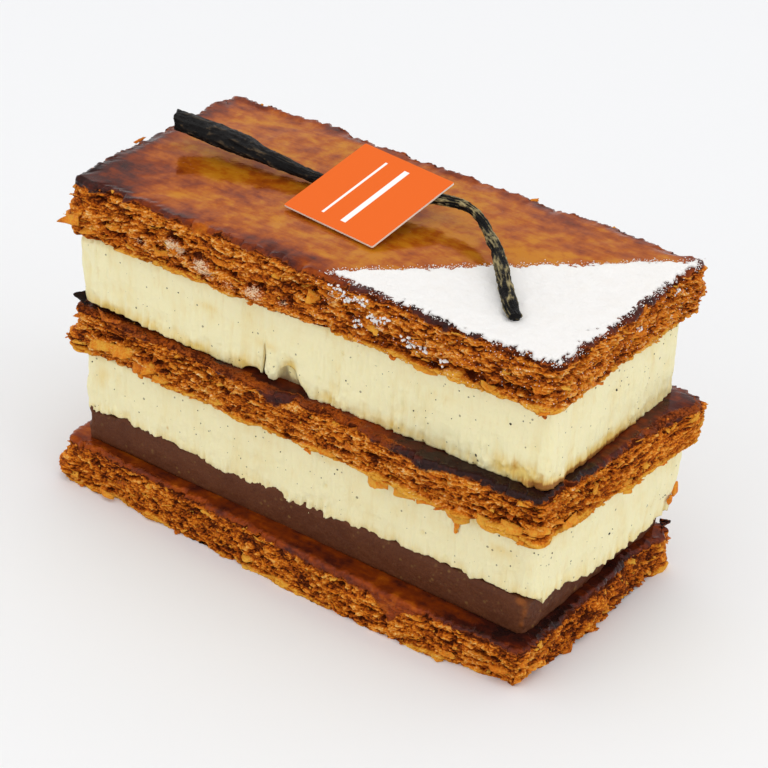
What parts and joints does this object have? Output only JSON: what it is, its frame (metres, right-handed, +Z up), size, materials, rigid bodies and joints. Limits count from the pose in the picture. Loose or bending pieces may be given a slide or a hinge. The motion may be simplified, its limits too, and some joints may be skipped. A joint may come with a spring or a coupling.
{
  "type": "mille feuille slice",
  "caption": "Rectangular slice of layered puff pastry with vanilla cream and praline, a caramelised top, an icing sugar corner, a vanilla pod and a small square card",
  "frame": {"origin": "centre of the footprint of the whole slice, on the surface it stands on", "axes": "+X runs along the slice towards the dusted end, +Y across it away from the long side that faces the viewer, +Z up"},
  "size_m": [0.1164, 0.0554, 0.0734],
  "materials": {
    "baked_pastry": "matte flaky baked crust",
    "caramelised_pastry": "glossy caramel glaze over baked crust",
    "praline": "matte nut paste",
    "vanilla_cream": "soft satin cream",
    "dried_pod": "dull ridged and wrinkled",
    "card_stock": "matte printed"
  },
  "bodies": {
    "root": {"pastry_bottom": "baked_pastry", "praline": "praline", "cream_lower": "vanilla_cream", "pastry_middle": "baked_pastry", "cream_upper": "vanilla_cream", "pastry_top": "caramelised_pastry", "vanilla_pod": "dried_pod", "label_card": "card_stock"}
  },
  "joints": []
}
